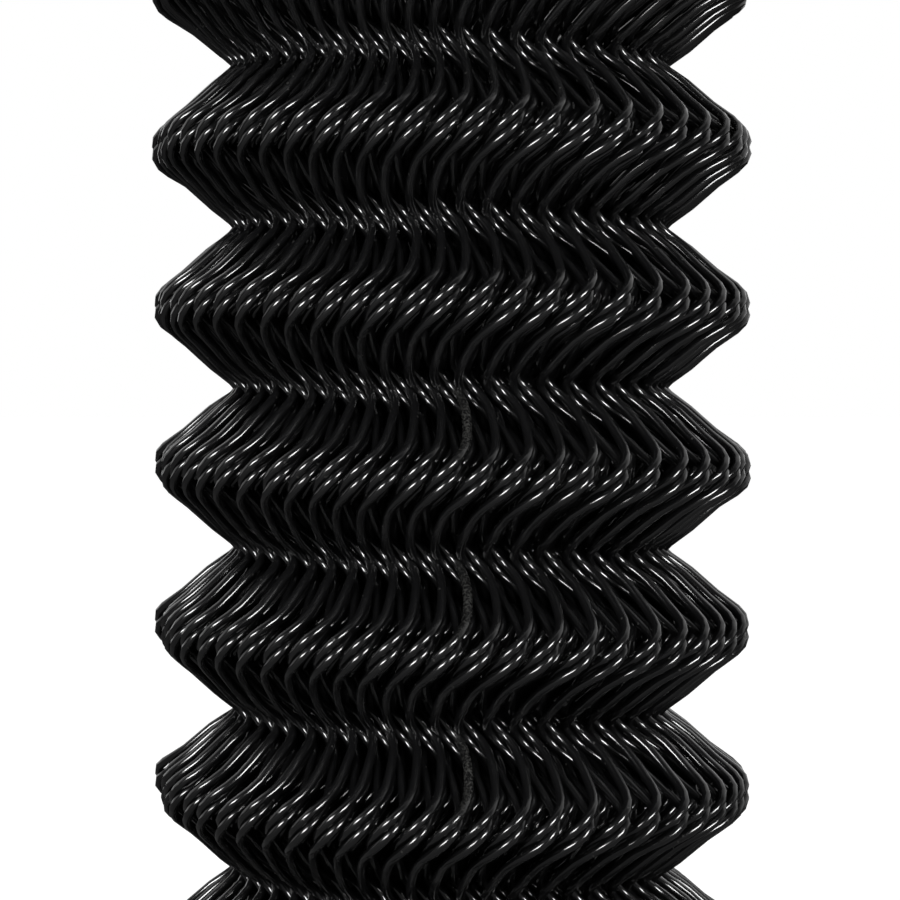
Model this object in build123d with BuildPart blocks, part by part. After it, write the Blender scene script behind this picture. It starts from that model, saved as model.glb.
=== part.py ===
# Compact roll of vinyl coated chain link fabric, standing on end, six diamonds tall.
# Each picket is a flattened right-handed helix of wire that stands on edge in the roll,
# hooked at its outer bends to one neighbour and at its inner bends to the other.
# Units are millimetres, +Z is up, the roll's axis is the Z axis and it rests on Z = 0.
import os
from math import atan2, cos, radians, sin, tan

from build123d import *

# Driving dimensions of the fabric
wire_diameter = 4.1
diamond_height = 72.9
diamond_rows = 6
outer_bend_radius = 134.5
fold_depth = 38.0
outer_stroke_width = 7.8
outer_stroke_rise = 7.5
inner_stroke_width = 6.8
inner_stroke_rise = 8.1
pleat_lean = 2.9
bar_corner_radius = 1.85
hook_clearance = 0.4

# Driving dimensions of the roll
outer_pairs = 56
pairs_per_panel = 4
inner_turns = 3
turn_pitch = 12.6
turn_clearance = 1.0
fabric_thickness = 11.8
inner_panels = 7
facets_per_panel = 2
panel_joint = 0.3

# Sizes that follow from them
inner_bend_radius = outer_bend_radius - fold_depth
pair_angle = 360 / outer_pairs
panel_count = outer_pairs // pairs_per_panel
hook_gap = wire_diameter + hook_clearance
outer_hook_rise = hook_gap / cos(atan2(outer_stroke_rise, outer_stroke_width))
inner_hook_rise = hook_gap / cos(atan2(inner_stroke_rise, inner_stroke_width))
leg_rise = (diamond_height - outer_stroke_rise - inner_stroke_rise) / 2
leg_slope = fold_depth / leg_rise


def polar_point(radius, angle, offset, height):
    """A point at a radius, turned by an angle in degrees and shifted along the turn."""
    turn = radians(angle) + offset / radius
    return (radius * cos(turn), radius * sin(turn), height)


def picket_path(inner_side, outer_rise, inner_rise):
    """Bend points of one picket from its lowest outer bend to its highest.

    inner_side is -1 where the inner bends lie clockwise of the outer ones and 1 where
    they lie anticlockwise. The rises lift its outer and its inner bends.
    """
    outer_half = outer_stroke_width / 2
    outer_lift = outer_stroke_rise / 2
    inner_half = inner_stroke_width / 2
    inner_lift = inner_stroke_rise / 2
    inner_angle = inner_side * pair_angle / 2 - pleat_lean
    points = []
    for row in range(diamond_rows + 1):
        level = outer_rise + row * diamond_height
        points.append(polar_point(outer_bend_radius, 0, -outer_half, level - outer_lift))
        points.append(polar_point(outer_bend_radius, 0, outer_half, level + outer_lift))
        if row < diamond_rows:
            middle = inner_rise + (row + 0.5) * diamond_height
            points.append(polar_point(inner_bend_radius, inner_angle, inner_half, middle - inner_lift))
            points.append(polar_point(inner_bend_radius, inner_angle, -inner_half, middle + inner_lift))
    return points


def picket(inner_side, outer_rise, inner_rise):
    """One picket as a three-sided bar with mitred bends, drawn just inside the round wire."""
    with BuildPart(mode=Mode.PRIVATE) as bar:
        with BuildLine() as path:
            Polyline(*picket_path(inner_side, outer_rise, inner_rise))
        with BuildSketch(Plane(origin=path.line @ 0, z_dir=path.line % 0)):
            RegularPolygon(bar_corner_radius, 3)
        sweep(transition=Transition.RIGHT)
    return bar.part


under_picket = picket(-1, 0, 0)
floor_lift = -under_picket.bounding_box().min.Z
under_picket = picket(-1, floor_lift, floor_lift)
over_picket = picket(1, floor_lift + outer_hook_rise, floor_lift + inner_hook_rise)

# The inner turns lie fold in fold behind the outer one, each drawn as a pleated sheet in
# flat facets whose slopes run parallel to the pickets' legs.
fold_middle = floor_lift + inner_hook_rise / 2
wire_reach = (inner_hook_rise / 2 + wire_diameter / 2) * leg_slope + turn_clearance
sheet_crest = outer_bend_radius + leg_slope * outer_stroke_rise / 2 - wire_reach
half_pleat = diamond_height / 2
panel_angle = 360 / inner_panels
facet_angle = panel_angle / facets_per_panel
flat_share = cos(radians(facet_angle / 2))
roll_height = diamond_rows * diamond_height + 2 * fold_middle


def sheet_profile(crest):
    """Outline of one pleated sheet, from radius and height, for its crest's radius.

    Its foot and its head are lips as thin as the wire.
    """
    outer_line = []
    inner_line = []
    for step in range(2 * diamond_rows + 1):
        height = fold_middle + step * half_pleat
        radius = crest - (step % 2) * half_pleat * leg_slope
        outer_line.append((radius * flat_share, height))
        inner_line.append(((radius - fabric_thickness) * flat_share, height))
    lip_radius = crest * flat_share
    foot = [(lip_radius - wire_diameter, 0), (lip_radius, 0)]
    head = [(lip_radius, roll_height), (lip_radius - wire_diameter, roll_height)]
    return foot + outer_line + head + inner_line[::-1]


def wedge(half_angle, inset):
    """A tall wedge between two upright planes that meet near the roll's axis."""
    reach = 2 * outer_bend_radius
    half_width = reach * tan(radians(half_angle))
    with BuildPart(mode=Mode.PRIVATE) as piece:
        with BuildSketch():
            Polygon((inset, 0), (inset + reach, -half_width), (inset + reach, half_width), align=None)
        extrude(amount=roll_height)
    return piece.part


def pleated_panel(crest):
    """One sector of a pleated sheet, in flat facets mitred to each other."""
    half_facet = outer_bend_radius * tan(radians(facet_angle / 2))
    with BuildPart(mode=Mode.PRIVATE) as facet:
        with BuildSketch(Plane.XZ):
            Polygon(*sheet_profile(crest), align=None)
        extrude(amount=half_facet, both=True)
        add(wedge(facet_angle / 2, 0), mode=Mode.INTERSECT)
    with BuildPart(mode=Mode.PRIVATE) as panel:
        for number in range(facets_per_panel):
            turn = (number - (facets_per_panel - 1) / 2) * facet_angle
            with Locations(Location((0, 0, 0), (0, 0, turn))):
                add(facet.part)
        add(wedge(panel_angle / 2, panel_joint / 2 / sin(radians(panel_angle / 2))), mode=Mode.INTERSECT)
    return panel.part


os.makedirs("parts", exist_ok=True)
for kind, source in (("under", under_picket), ("over", over_picket)):
    for panel in range(panel_count):
        with BuildPart() as panel_pickets:
            for pair in range(pairs_per_panel):
                turn = (panel * pairs_per_panel + pair) * pair_angle
                with Locations(Location((0, 0, 0), (0, 0, turn))):
                    add(source)
        panel_pickets.part.label = f"{kind}_pickets_{panel + 1:02d}"
        export_step(panel_pickets.part, f"parts/{panel_pickets.part.label}.step")

turn_panels = [pleated_panel(sheet_crest - turn * turn_pitch) for turn in range(inner_turns)]
for panel in range(inner_panels):
    with BuildPart() as inner_fabric:
        with Locations(Location((0, 0, 0), (0, 0, panel * panel_angle))):
            for turn_panel in turn_panels:
                add(turn_panel)
    inner_fabric.part.label = f"inner_turns_{panel + 1:02d}"
    export_step(inner_fabric.part, f"parts/{inner_fabric.part.label}.step")
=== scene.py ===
"""Compact roll of black vinyl coated chain link fabric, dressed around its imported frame.

Lengths are metres and angles radians. Every picket is a flattened right-handed helix of
round wire, hooked to one neighbour at its outer bends and to the other at its inner ones.
"""

import logging
from dataclasses import dataclass, field
from enum import Enum
from math import atan, cos, pi, radians, sin

import bpy
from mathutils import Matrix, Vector

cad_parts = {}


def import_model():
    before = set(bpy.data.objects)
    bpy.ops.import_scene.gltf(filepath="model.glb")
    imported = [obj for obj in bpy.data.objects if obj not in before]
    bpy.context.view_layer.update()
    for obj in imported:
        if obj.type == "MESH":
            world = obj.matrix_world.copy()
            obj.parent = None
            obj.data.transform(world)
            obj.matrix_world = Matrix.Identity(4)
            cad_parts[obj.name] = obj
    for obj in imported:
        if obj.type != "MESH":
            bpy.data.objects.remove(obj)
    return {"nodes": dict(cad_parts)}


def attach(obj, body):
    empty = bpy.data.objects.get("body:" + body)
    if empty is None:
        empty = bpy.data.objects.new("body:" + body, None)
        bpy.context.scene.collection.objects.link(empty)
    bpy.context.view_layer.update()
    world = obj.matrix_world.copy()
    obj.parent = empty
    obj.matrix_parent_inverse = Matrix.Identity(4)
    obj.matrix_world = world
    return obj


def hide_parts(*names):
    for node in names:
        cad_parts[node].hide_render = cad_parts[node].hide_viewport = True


log = logging.getLogger("roll")

BODY = "root"
NO_PICKET = -1
HOOKS_APART = 64.0


class Lay(Enum):
    """How a picket lies at its hooks: under its partner, or over it."""

    UNDER = -1
    OVER = 1


class Value:
    """A number worked out by a node tree, with the usual arithmetic."""

    def __init__(self, tree: bpy.types.NodeTree, socket: bpy.types.NodeSocket) -> None:
        """Hold one output socket of the tree."""
        self.tree = tree
        self.socket = socket

    def math(self, operation: str, *others: "Value | float") -> "Value":
        """Add a Math node that takes this value first.

        Args:
            operation: the Math node's operation.
            others: its further inputs, as values or plain numbers.

        Returns:
            The node's result.
        """
        node = self.tree.nodes.new("ShaderNodeMath")
        node.operation = operation
        for place, item in enumerate((self, *others)):
            if isinstance(item, Value):
                self.tree.links.new(item.socket, node.inputs[place])
            else:
                node.inputs[place].default_value = item
        return Value(self.tree, node.outputs[0])

    def __add__(self, other: "Value | float") -> "Value":
        """Add a value or a number."""
        return self.math("ADD", other)

    def __sub__(self, other: "Value | float") -> "Value":
        """Take a value or a number away."""
        return self.math("SUBTRACT", other)

    def __mul__(self, other: "Value | float") -> "Value":
        """Multiply by a value or a number."""
        return self.math("MULTIPLY", other)

    def __truediv__(self, other: "Value | float") -> "Value":
        """Divide by a value or a number."""
        return self.math("DIVIDE", other)

    def blend(self, other: "Value", share: "Value") -> "Value":
        """Go from this value, at a share of 0, to the other one, at 1."""
        return self + (other - self) * share


def add_node(tree: bpy.types.NodeTree, kind: str, links: dict | None = None,
             **settings: object) -> bpy.types.Node:
    """Add a node to a tree.

    Args:
        tree: the tree to add to.
        kind: the node's type.
        links: its inputs by name or place, as sockets, values or constants.
        settings: its own properties.

    Returns:
        The new node.
    """
    node = tree.nodes.new(kind)
    for key, value in settings.items():
        setattr(node, key, value)
    for place, item in (links or {}).items():
        source = item.socket if isinstance(item, Value) else item
        if isinstance(source, bpy.types.NodeSocket):
            tree.links.new(source, node.inputs[place])
        else:
            node.inputs[place].default_value = source
    return node


class Tree:
    """A Geometry Nodes tree under construction."""

    def __init__(self, name: str) -> None:
        """Start a tree that gives one geometry."""
        self.group = bpy.data.node_groups.new(name, "GeometryNodeTree")
        self.group.interface.new_socket("Geometry", in_out="OUTPUT", socket_type="NodeSocketGeometry")
        self.entry = self.group.nodes.new("NodeGroupInput")
        self.identifiers: dict[str, str] = {}

    def number(self, name: str, default: float) -> Value:
        """Add a named number input.

        Args:
            name: the input's name.
            default: its value where a modifier sets none.

        Returns:
            The input as a value.
        """
        socket = self.group.interface.new_socket(name, in_out="INPUT", socket_type="NodeSocketFloat")
        socket.default_value = default
        self.identifiers[name] = socket.identifier
        return Value(self.group, self.entry.outputs[name])

    def node(self, kind: str, links: dict | None = None, **settings: object) -> bpy.types.Node:
        """Add a node, with its inputs and its own properties."""
        return add_node(self.group, kind, links, **settings)

    def random(self, spread: float, identity: Value, seed: int) -> Value:
        """A random number within the spread either way, the same for equal identities."""
        node = self.node(
            "FunctionNodeRandomValue", {2: -spread, 3: spread, "ID": identity, "Seed": seed},
            data_type="FLOAT",
        )
        return Value(self.group, node.outputs[1])

    def finish(self, geometry: bpy.types.NodeSocket, material: bpy.types.Material) -> None:
        """End the tree in Realize Instances and Set Material."""
        real = self.node("GeometryNodeRealizeInstances", {0: geometry})
        painted = self.node("GeometryNodeSetMaterial", {0: real.outputs[0], "Material": material})
        self.node("NodeGroupOutput", {0: painted.outputs[0]})


@dataclass(frozen=True)
class Vinyl:
    """Glossy black vinyl with faint waves, specks of dust and scuffs where the mesh says.

    Scales are those of the noise patterns, per metre. A ramp holds the pattern's values at
    which the dust starts and is full.
    """

    black: tuple[float, float, float] = (0.0018, 0.0018, 0.0019)
    scuff_grey: tuple[float, float, float] = (0.026, 0.026, 0.024)
    roughness: float = 0.18
    dusty_roughness: float = 0.6
    specular: float = 0.42
    streak_scale: float = 900.0
    streak_detail: float = 6.0
    streak_ramp: tuple[float, float] = (0.42, 0.8)
    speck_scale: float = 150.0
    speck_ramp: tuple[float, float] = (0.1, 0.06)
    speck_strength: float = 0.35
    wave_scale: float = 260.0
    wave_detail: float = 3.0
    wave_strength: float = 0.12
    wave_height: float = 0.0003

    def build(self, name: str) -> bpy.types.Material:
        """Make the material.

        Args:
            name: the material's name.

        Returns:
            The material with its nodes.
        """
        material = bpy.data.materials.new(name)
        material.use_nodes = True
        tree = material.node_tree
        shader = tree.nodes["Principled BSDF"]
        shader.inputs["Specular IOR Level"].default_value = self.specular
        place = add_node(tree, "ShaderNodeTexCoord").outputs["Object"]
        dust = self.dust(tree, place)

        colour = add_node(
            tree, "ShaderNodeMix",
            {"A": (*self.black, 1.0), "B": (*self.scuff_grey, 1.0), "Factor": dust},
            data_type="RGBA",
        )
        tree.links.new(colour.outputs["Result"], shader.inputs["Base Color"])
        gloss = add_node(
            tree, "ShaderNodeMapRange",
            {"To Min": self.roughness, "To Max": self.dusty_roughness, "Value": dust},
        )
        tree.links.new(gloss.outputs["Result"], shader.inputs["Roughness"])

        waves = add_node(
            tree, "ShaderNodeTexNoise",
            {"Vector": place, "Scale": self.wave_scale, "Detail": self.wave_detail},
        )
        bump = add_node(
            tree, "ShaderNodeBump",
            {"Strength": self.wave_strength, "Distance": self.wave_height, "Height": waves.outputs["Fac"]},
        )
        tree.links.new(bump.outputs["Normal"], shader.inputs["Normal"])
        return material

    def dust(self, tree: bpy.types.NodeTree, place: bpy.types.NodeSocket) -> bpy.types.NodeSocket:
        """How much dust covers each point.

        Args:
            tree: the material's node tree.
            place: the point's place on the piece.

        Returns:
            A share, from the streaks on scuffed wires and from the scattered specks.
        """
        scuff = add_node(tree, "ShaderNodeAttribute", attribute_name="scuff")
        streaks = add_node(
            tree, "ShaderNodeTexNoise",
            {"Vector": place, "Scale": self.streak_scale, "Detail": self.streak_detail},
        )
        streak = add_node(
            tree, "ShaderNodeMapRange",
            {
                "From Min": self.streak_ramp[0],
                "From Max": self.streak_ramp[1],
                "Value": streaks.outputs["Fac"],
            },
        )
        worn = add_node(
            tree, "ShaderNodeMath",
            {0: streak.outputs["Result"], 1: scuff.outputs["Fac"]},
            operation="MULTIPLY",
        )
        specks = add_node(tree, "ShaderNodeTexVoronoi", {"Vector": place, "Scale": self.speck_scale})
        speck = add_node(
            tree, "ShaderNodeMapRange",
            {
                "From Min": self.speck_ramp[0],
                "From Max": self.speck_ramp[1],
                "To Max": self.speck_strength,
                "Value": specks.outputs["Distance"],
            },
        )
        most = add_node(
            tree, "ShaderNodeMath",
            {0: worn.outputs[0], 1: speck.outputs["Result"]},
            operation="MAXIMUM",
        )
        return most.outputs[0]


@dataclass(frozen=True)
class PaleFloor:
    """A matt pale floor that the camera sees as plain white."""

    shade: float = 0.14
    roughness: float = 0.9
    veil: float = 1.0

    def build(self, name: str) -> bpy.types.Material:
        """Make the material.

        Args:
            name: the material's name.

        Returns:
            The material with its nodes.
        """
        material = bpy.data.materials.new(name)
        material.use_nodes = True
        tree = material.node_tree
        shader = tree.nodes["Principled BSDF"]
        shader.inputs["Base Color"].default_value = (self.shade, self.shade, self.shade, 1.0)
        shader.inputs["Roughness"].default_value = self.roughness
        shader.inputs["Specular IOR Level"].default_value = 0.0
        shader.inputs["Emission Color"].default_value = (1.0, 1.0, 1.0, 1.0)
        path = add_node(tree, "ShaderNodeLightPath")
        veil = add_node(
            tree, "ShaderNodeMath", {0: path.outputs["Is Camera Ray"], 1: self.veil}, operation="MULTIPLY"
        )
        tree.links.new(veil.outputs[0], shader.inputs["Emission Strength"])
        return material


@dataclass
class Weave:
    """The sizes that every picket of the fabric shares.

    A reach is how far a curve's handle pulls the wire along: sideways and upwards at a hook,
    inwards and upwards at the middle of a leg. A gap is how far an over picket's hook lies
    above its partner's. The shifts are the random unevenness of the hooks, either way.
    """

    wire: float = 0.0041
    diamond: float = 0.0729
    rows: int = 6
    fold_depth: float = 0.0385
    outer_reach: tuple[float, float] = (0.0066, 0.0065)
    inner_reach: tuple[float, float] = (0.0065, 0.0067)
    leg_reach: tuple[float, float] = (0.010, 0.010)
    leg_bow: float = 0.009
    leg_drift: float = 0.3
    outer_gap: float = 0.0057
    inner_gap: float = 0.0062
    foot: float = 0.0068
    pleat_lean: float = radians(2.9)
    tail_side: float = 0.0015
    tail_depth: float = 0.008
    tail_rise: float = 0.004
    tail_reach: tuple[float, float, float] = (0.001, 0.005, 0.0025)
    angle_shift: float = 0.006
    radius_shift: float = 0.0009
    height_shift: float = 0.0007


@dataclass
class FabricTurn:
    """One turn of the roll, as pickets under and over one another.

    The turn starts and ends at the back, where its last share steps in by one pitch. Its
    pickets crowd together at crowd_waves places, and its outer bends are dented at one side.
    """

    name: str
    weave: Weave
    radius: float
    pairs: int
    pitch: float
    seed: int
    leg_steps: int
    sides: int
    phase: float = 0.0
    back: float = pi / 2
    crowding: float = 0.062
    crowd_waves: float = 3.0
    crowd_side: float = radians(-104)
    joint_share: float = 0.86
    dusty_picket: int = NO_PICKET
    dusty_hooks: float = 7.0
    stray_picket: int = NO_PICKET
    stray_reach: float = 0.0055
    dent: float = 0.0
    dent_side: float = radians(190)
    dent_sharpness: float = 8.0

    def picket_curves(self, tree: Tree, lay: Lay) -> tuple[bpy.types.NodeSocket, Value]:
        """Make every picket's curve, with one point at each of its hooks.

        Args:
            tree: the tree to add to.
            lay: whether the pickets lie under or over their partners.

        Returns:
            The curves and how dusty each of their points is.
        """
        weave = self.weave
        last_hook = 2 * weave.rows
        count = 2 * last_hook + 3
        line = tree.node("GeometryNodeCurvePrimitiveLine")
        dotted = tree.node(
            "GeometryNodeResampleCurve", {"Curve": line.outputs[0], "Count": count}, mode="COUNT"
        )
        stations = tree.node("GeometryNodeMeshLine", {"Count": self.pairs})
        copies = tree.node(
            "GeometryNodeInstanceOnPoints", {"Points": stations.outputs[0], "Instance": dotted.outputs[0]}
        )
        real = tree.node("GeometryNodeRealizeInstances", {0: copies.outputs[0]})
        bent = tree.node("GeometryNodeCurveSplineType", {0: real.outputs[0]}, spline_type="BEZIER")
        free = tree.node("GeometryNodeCurveSetHandles", {0: bent.outputs[0]}, handle_type="FREE")
        index = Value(tree.group, tree.node("GeometryNodeInputIndex").outputs[0])

        diamond = tree.number("Diamond height", weave.diamond)
        depth = tree.number("Fold depth", weave.fold_depth)
        radius = tree.number("Outer bend radius", self.radius)
        pitch = tree.number("Turn pitch", self.pitch)
        lean = tree.number("Pleat lean", weave.pleat_lean)
        outer_side = tree.number("Outer reach sideways", weave.outer_reach[0])
        outer_rise = tree.number("Outer reach upwards", weave.outer_reach[1])
        inner_side = tree.number("Inner reach sideways", weave.inner_reach[0])
        inner_rise = tree.number("Inner reach upwards", weave.inner_reach[1])
        leg_depth = tree.number("Leg reach inwards", weave.leg_reach[0])
        leg_rise = tree.number("Leg reach upwards", weave.leg_reach[1])
        bow = tree.number("Leg bow", weave.leg_bow)

        picket = (index / float(count)).math("FLOOR")
        step = index - picket * float(count)
        place = (step - 1.0).math("MAXIMUM", 0.0).math("MINIMUM", 2.0 * last_hook) * 0.5
        below = place.math("FLOOR")
        above = place.math("CEIL")
        leg = above - below
        inner = below.math("MODULO", 2.0)
        way = inner * -2.0 + 1.0
        foot_tail = step.math("LESS_THAN", 0.5)
        head_tail = step.math("GREATER_THAN", 2.0 * last_hook + 1.5)
        tail = foot_tail + head_tail
        tail_way = head_tail - foot_tail

        sizes = (diamond, depth, radius, pitch, lean)
        low = self.hook_place(tree, lay, picket, below, sizes)
        high = self.hook_place(tree, lay, picket, above, sizes)
        reach, angle, height = (one.blend(other, leg * 0.5) for one, other in zip(low, high))
        reach = reach - tail * weave.tail_depth
        height = height - tail_way * weave.tail_rise
        turn = angle + (tail_way * weave.tail_side + leg * way * bow) / reach
        spot = self.at(tree, reach, turn, height)

        tail_across, tail_upward, tail_outward = weave.tail_reach
        hooked = tail * -1.0 + 1.0
        drift = (high[1] - low[1]) * reach * weave.leg_drift
        across = (outer_side.blend(inner_side, inner) * way * hooked).blend(drift, leg)
        across = across + tail_way * tail_across
        upward = (outer_rise.blend(inner_rise, inner) * hooked).blend(leg_rise, leg)
        upward = upward + tail_way * tail_upward
        inward = leg * way * leg_depth
        shape = tree.node("GeometryNodeSetPosition", {0: free.outputs[0], "Position": spot})
        for side, share in (("LEFT", tail * 2.0 - 1.0), ("RIGHT", tail * 0.0 + 1.0)):
            distance = reach - inward * share + tail * tail_outward
            handle = self.at(tree, distance, turn, height + upward * share, across * share)
            shape = tree.node(
                "GeometryNodeSetCurveHandlePositions", {0: shape.outputs[0], "Position": handle}, mode=side
            )
        dusty = float(self.dusty_picket if lay is Lay.OVER else NO_PICKET)
        dust = picket.math("COMPARE", dusty, 0.1) * leg * (inner * -1.0 + 1.0)
        return shape.outputs[0], dust * below.math("LESS_THAN", self.dusty_hooks)

    def hook_place(self, tree: Tree, lay: Lay, picket: Value, hook: Value,
                   sizes: tuple[Value, ...]) -> tuple[Value, Value, Value]:
        """Radius, angle and height of a hook's middle on a picket.

        Args:
            tree: the tree to add to.
            lay: whether the picket lies under or over its partner.
            picket: the picket's number.
            hook: the hook's number, even at the outer bends.
            sizes: the named sizes of diamond, fold, radius, pitch and lean.

        Returns:
            The three as values.
        """
        diamond, depth, radius, pitch, lean = sizes
        weave = self.weave
        inner = hook.math("MODULO", 2.0)
        station = picket + inner * (0.5 * lay.value)
        hook_number = picket - inner if lay is Lay.UNDER else picket
        identity = (hook_number + 1.0) * HOOKS_APART + hook
        share = station / float(self.pairs)
        even = share * (2 * pi) + (self.back + self.phase)
        crowd = ((even - self.crowd_side) * self.crowd_waves).math("SINE") * (-self.crowding)
        shift = tree.random(weave.angle_shift, identity, self.seed)
        angle = even + crowd + shift - lean * inner

        joint = ((share - self.joint_share) / (1.0 - self.joint_share)).math("MAXIMUM", 0.0)
        joint = joint.math("MINIMUM", 1.0)
        eased = joint * joint * (joint * -2.0 + 3.0)
        reach = radius - pitch * eased - depth * inner
        reach = reach + tree.random(weave.radius_shift, identity, self.seed + 1)
        stray = hook_number.math("COMPARE", float(self.stray_picket), 0.1)
        facing = (even - self.dent_side).math("COSINE").math("MAXIMUM", 0.0)
        dented = facing.math("POWER", self.dent_sharpness)
        reach = reach + (stray * self.stray_reach - dented * self.dent) * (inner * -1.0 + 1.0)

        height = hook * diamond * 0.5 + weave.foot
        if lay is Lay.OVER:
            height = height + inner * (weave.inner_gap - weave.outer_gap) + weave.outer_gap
        return reach, angle, height + tree.random(weave.height_shift, identity, self.seed + 2)

    @staticmethod
    def at(tree: Tree, reach: Value, turn: Value, height: Value,
           sideways: Value | None = None) -> bpy.types.NodeSocket:
        """A point from its radius, angle and height, moved sideways along the turn."""
        across = turn.math("SINE") * reach
        along = turn.math("COSINE") * reach
        if sideways:
            across = across + turn.math("COSINE") * sideways
            along = along - turn.math("SINE") * sideways
        return tree.node("ShaderNodeCombineXYZ", {0: along, 1: across, 2: height}).outputs[0]

    def build_lay(self, lay: Lay, material: bpy.types.Material) -> bpy.types.Object:
        """Make the pickets of one lay as one mesh.

        Args:
            lay: which pickets to make.
            material: their finish.

        Returns:
            The finished object, at the origin.
        """
        name = f"{self.name}_{lay.name.lower()}_pickets"
        tree = Tree(name)
        curves, dust = self.picket_curves(tree, lay)
        smooth = tree.node(
            "GeometryNodeSetSplineResolution", {"Geometry": curves, "Resolution": self.leg_steps}
        )
        worn = tree.node(
            "GeometryNodeStoreNamedAttribute",
            {"Geometry": smooth.outputs[0], "Name": "scuff", "Value": dust},
            data_type="FLOAT",
            domain="POINT",
        )
        wire = tree.number("Wire radius", self.weave.wire / 2)
        ring = tree.node("GeometryNodeCurvePrimitiveCircle", {"Resolution": self.sides, "Radius": wire})
        tube = tree.node(
            "GeometryNodeCurveToMesh",
            {"Curve": worn.outputs[0], "Profile Curve": ring.outputs[0], "Fill Caps": True},
        )
        shaded = tree.node("GeometryNodeSetShadeSmooth", {0: tube.outputs[0]})
        tree.finish(shaded.outputs[0], material)
        return self.bake(name, tree, material)

    def bake(self, name: str, tree: Tree, material: bpy.types.Material) -> bpy.types.Object:
        """Turn a tree's result into a plain mesh object.

        Args:
            name: the piece's name.
            tree: the finished tree.
            material: the piece's finish.

        Returns:
            The piece, at the origin, with no modifier.
        """
        holder = bpy.data.objects.new(name + "_nodes", bpy.data.meshes.new(name + "_seed"))
        bpy.context.scene.collection.objects.link(holder)
        modifier = holder.modifiers.new("Weave", "NODES")
        modifier.node_group = tree.group
        modifier[tree.identifiers["Diamond height"]] = self.weave.diamond
        modifier[tree.identifiers["Outer bend radius"]] = self.radius
        bpy.context.view_layer.update()
        shape = holder.evaluated_get(bpy.context.evaluated_depsgraph_get())
        mesh = bpy.data.meshes.new_from_object(shape)
        mesh.name = name
        bpy.data.objects.remove(holder)
        piece = bpy.data.objects.new(name, mesh)
        bpy.context.scene.collection.objects.link(piece)
        if not mesh.materials:
            mesh.materials.append(material)
        return piece

    def build(self, material: bpy.types.Material) -> list[bpy.types.Object]:
        """Make both lays of the turn and return their objects."""
        return [self.build_lay(lay, material) for lay in Lay]


@dataclass
class Roll:
    """The whole roll: an outer turn and the turns folded inside it.

    The phases turn each layer a little, so that no light shows through at the front.
    """

    weave: Weave = field(default_factory=Weave)
    outer_radius: float = 0.1345
    outer_pairs: int = 56
    turns: int = 4
    pitch: float = 0.0126
    phases: tuple[float, ...] = (0.03, 0.0, 0.1139, 0.0654)
    first_seed: int = 11
    seeds_apart: int = 20
    dusty_picket: int = 28
    stray_picket: int = 13
    dent: float = 0.004

    def turn(self, number: int) -> FabricTurn:
        """One turn of the roll, finely modelled if it is the outer one.

        Args:
            number: the turn's number, 0 for the outer turn.

        Returns:
            The turn, not built yet.
        """
        outer = number == 0
        radius = self.outer_radius - number * self.pitch
        return FabricTurn(
            name="outer_turn" if outer else f"inner_turn_{number}",
            weave=self.weave,
            radius=radius,
            pairs=round(self.outer_pairs * radius / self.outer_radius),
            pitch=self.pitch,
            seed=self.first_seed + self.seeds_apart * number,
            leg_steps=5 if outer else 3,
            sides=8 if outer else 6,
            phase=self.phases[number],
            dusty_picket=self.dusty_picket if outer else NO_PICKET,
            stray_picket=self.stray_picket if outer else NO_PICKET,
            dent=self.dent if outer else 0.0,
        )

    def build(self, vinyl: bpy.types.Material) -> list[bpy.types.Object]:
        """Make every turn and let it ride and stand in for its frame nodes.

        Args:
            vinyl: the finish of all the wires.

        Returns:
            The pieces, two for each turn.
        """
        pieces = []
        for number in range(self.turns):
            for piece, lay in zip(self.turn(number).build(vinyl), Lay):
                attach(piece, BODY)
                if number == 0:
                    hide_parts(*frame_nodes(f"{lay.name.lower()}_pickets"))
                elif number == 1 and lay is Lay.UNDER:
                    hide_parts(*frame_nodes("inner_turns"))
                pieces.append(piece)
        return pieces


def frame_nodes(start: str) -> list[str]:
    """Names of the frame's nodes that start with the given words."""
    return [node for node in frame["nodes"] if node.startswith(start)]


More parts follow.
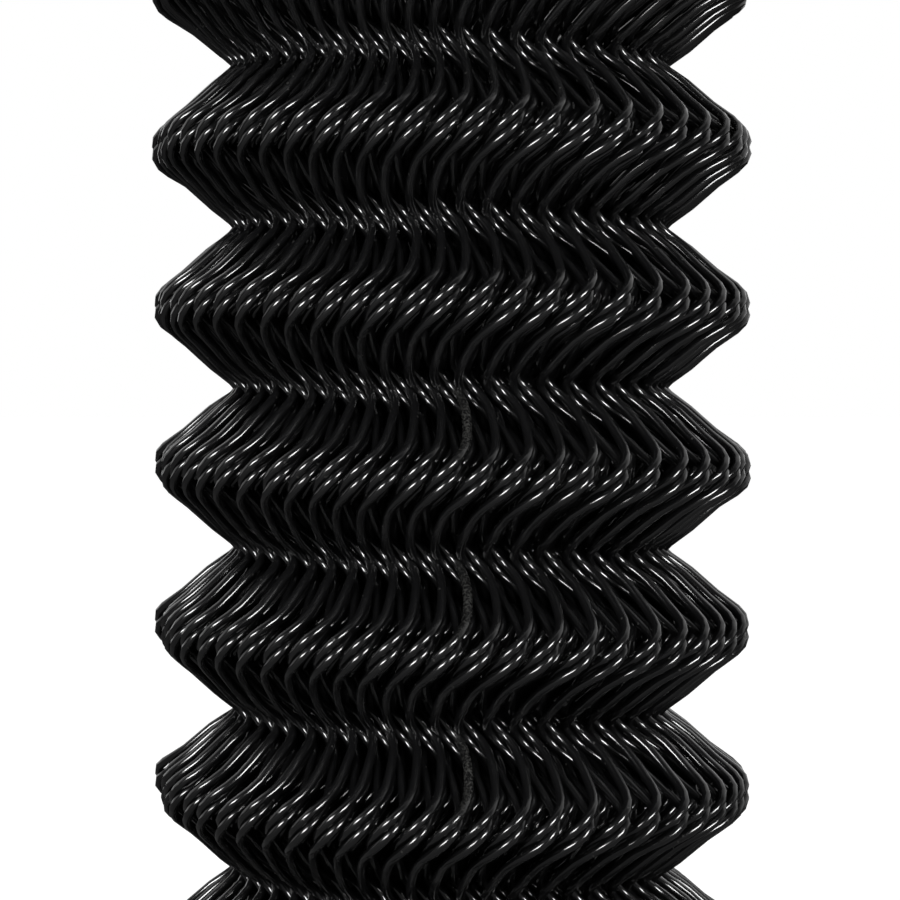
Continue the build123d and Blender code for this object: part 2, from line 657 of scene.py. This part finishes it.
@dataclass
class Studio:
    """The floor, the lamps, the world and the camera.

    The camera's sizes are those of the photograph: its width, its focal length and the
    height of the horizon in pixels, and the camera's place from the roll's axis.
    """

    picture: int = 900
    focal_pixels: float = 2711.0
    camera_distance: float = 1.242
    eye_height: float = 0.2725
    horizon_pixel: float = 372.0
    floor_size: float = 30.0
    dim: float = 0.05
    mirrored_depth: tuple[float, float] = (-0.3, 0.1)
    lamp_angle: float = radians(34)
    lamp_distance: float = 1.5
    lamp_height: float = 0.6
    lamp_size: tuple[float, float] = (0.72, 0.36)
    lamp_power: float = 42.0

    def build_floor(self) -> None:
        """Lay the pale floor that isn't part of the object."""
        mesh = bpy.data.meshes.new("floor")
        half = self.floor_size / 2
        corners = [(-half, -half, 0), (half, -half, 0), (half, half, 0), (-half, half, 0)]
        mesh.from_pydata(corners, [], [(0, 1, 2, 3)])
        floor = bpy.data.objects.new("floor", mesh)
        bpy.context.scene.collection.objects.link(floor)
        mesh.materials.append(PaleFloor().build("pale_floor"))

    def build_world(self) -> None:
        """A white backdrop that is seen and mirrored, and dim light from all around."""
        world = bpy.data.worlds.new("studio")
        bpy.context.scene.world = world
        world.use_nodes = True
        tree = world.node_tree
        ground = tree.nodes["Background"]
        ground.inputs["Color"].default_value = (1.0, 1.0, 1.0, 1.0)
        path = add_node(tree, "ShaderNodeLightPath")
        place = add_node(tree, "ShaderNodeTexCoord")
        axes = add_node(tree, "ShaderNodeSeparateXYZ", {0: place.outputs["Generated"]})
        near, far = self.mirrored_depth
        behind = add_node(
            tree, "ShaderNodeMapRange", {"From Min": near, "From Max": far, "Value": axes.outputs["Y"]}
        )
        mirrored = add_node(
            tree, "ShaderNodeMath",
            {0: path.outputs["Is Glossy Ray"], 1: behind.outputs["Result"]},
            operation="MULTIPLY",
        )
        seen = add_node(
            tree, "ShaderNodeMath",
            {0: path.outputs["Is Camera Ray"], 1: path.outputs["Is Transmission Ray"]},
            operation="MAXIMUM",
        )
        white = add_node(
            tree, "ShaderNodeMath", {0: seen.outputs[0], 1: mirrored.outputs[0]}, operation="MAXIMUM"
        )
        strength = add_node(
            tree, "ShaderNodeMapRange", {"To Min": self.dim, "Value": white.outputs[0]}
        )
        tree.links.new(strength.outputs["Result"], ground.inputs["Strength"])

    def add_lamp(self, name: str, azimuth: float) -> None:
        """Add one wide soft lamp that faces the roll.

        Args:
            name: the lamp's name.
            azimuth: its angle from the camera's side, positive to the right.
        """
        light = bpy.data.lights.new(name, "AREA")
        light.shape = "RECTANGLE"
        light.size, light.size_y = self.lamp_size
        light.energy = self.lamp_power
        lamp = bpy.data.objects.new(name, light)
        distance = self.lamp_distance
        spot = Vector((sin(azimuth) * distance, -cos(azimuth) * distance, self.lamp_height))
        lamp.location = spot
        target = Vector((0.0, 0.0, self.eye_height))
        lamp.rotation_euler = (target - spot).to_track_quat("-Z", "Y").to_euler()
        bpy.context.scene.collection.objects.link(lamp)

    def build_camera(self) -> None:
        """Set the camera where the photograph was taken."""
        data = bpy.data.cameras.new("camera")
        data.lens = self.focal_pixels / self.picture * data.sensor_width
        camera = bpy.data.objects.new("camera", data)
        pitch = atan((self.picture / 2 - self.horizon_pixel) / self.focal_pixels)
        camera.location = (0.0, -self.camera_distance, self.eye_height)
        camera.rotation_euler = (pi / 2 - pitch, 0.0, 0.0)
        bpy.context.scene.collection.objects.link(camera)
        bpy.context.scene.camera = camera

    def build(self) -> None:
        """Build the whole studio."""
        self.build_floor()
        self.build_world()
        self.add_lamp("left_lamp", -self.lamp_angle)
        self.add_lamp("right_lamp", self.lamp_angle)
        self.build_camera()
        bpy.context.scene.view_settings.view_transform = "Standard"


def main() -> None:
    """Build the roll and its studio."""
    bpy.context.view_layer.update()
    for piece in Roll().build(Vinyl().build("black_vinyl")):
        log.info("%s: %d faces", piece.name, len(piece.data.polygons))
    Studio().build()
    log.info("studio built")


if __name__ == "__main__":
    logging.basicConfig(level=logging.INFO, format="%(name)s: %(message)s")
    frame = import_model()
    main()
